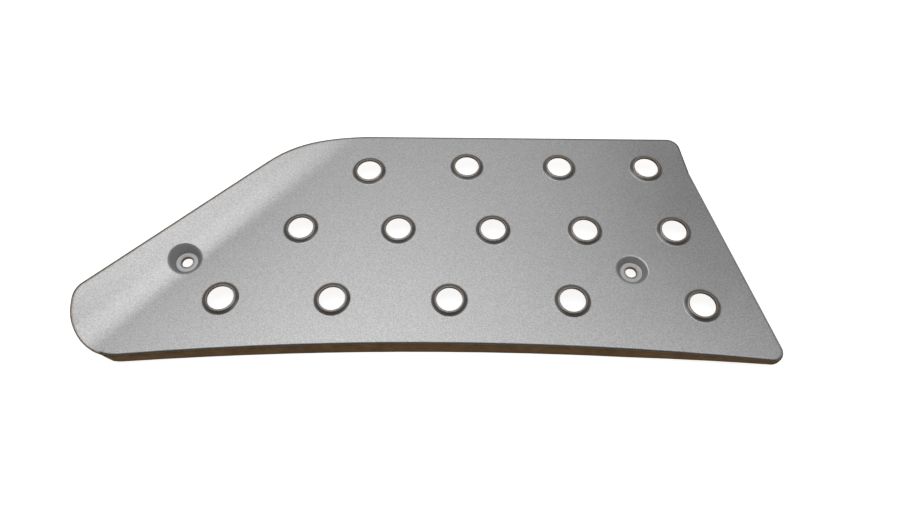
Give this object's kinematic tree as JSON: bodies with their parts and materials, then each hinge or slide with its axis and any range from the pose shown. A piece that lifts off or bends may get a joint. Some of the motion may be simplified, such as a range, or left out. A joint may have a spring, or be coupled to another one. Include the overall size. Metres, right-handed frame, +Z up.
{
  "type": "footboard plate",
  "caption": "Pressed steel footboard plate for a small motorbike, with a bent-up nose, a folded edge flange, raised grip holes and sunk screw seats.",
  "frame": {"origin": "midway between the two screw holes, on the underside of their seats, which is the plane that lies on the carrier", "axes": "+X along the straight far edge from the nose towards the rear, +Y across the plate towards the far edge, +Z up out of the tread"},
  "size_m": [0.398, 0.1569, 0.0203],
  "materials": {
    "silver_paint": "satin silver paint on steel sheet"
  },
  "bodies": {
    "root": {"footboard_plate": "silver_paint"}
  },
  "joints": []
}
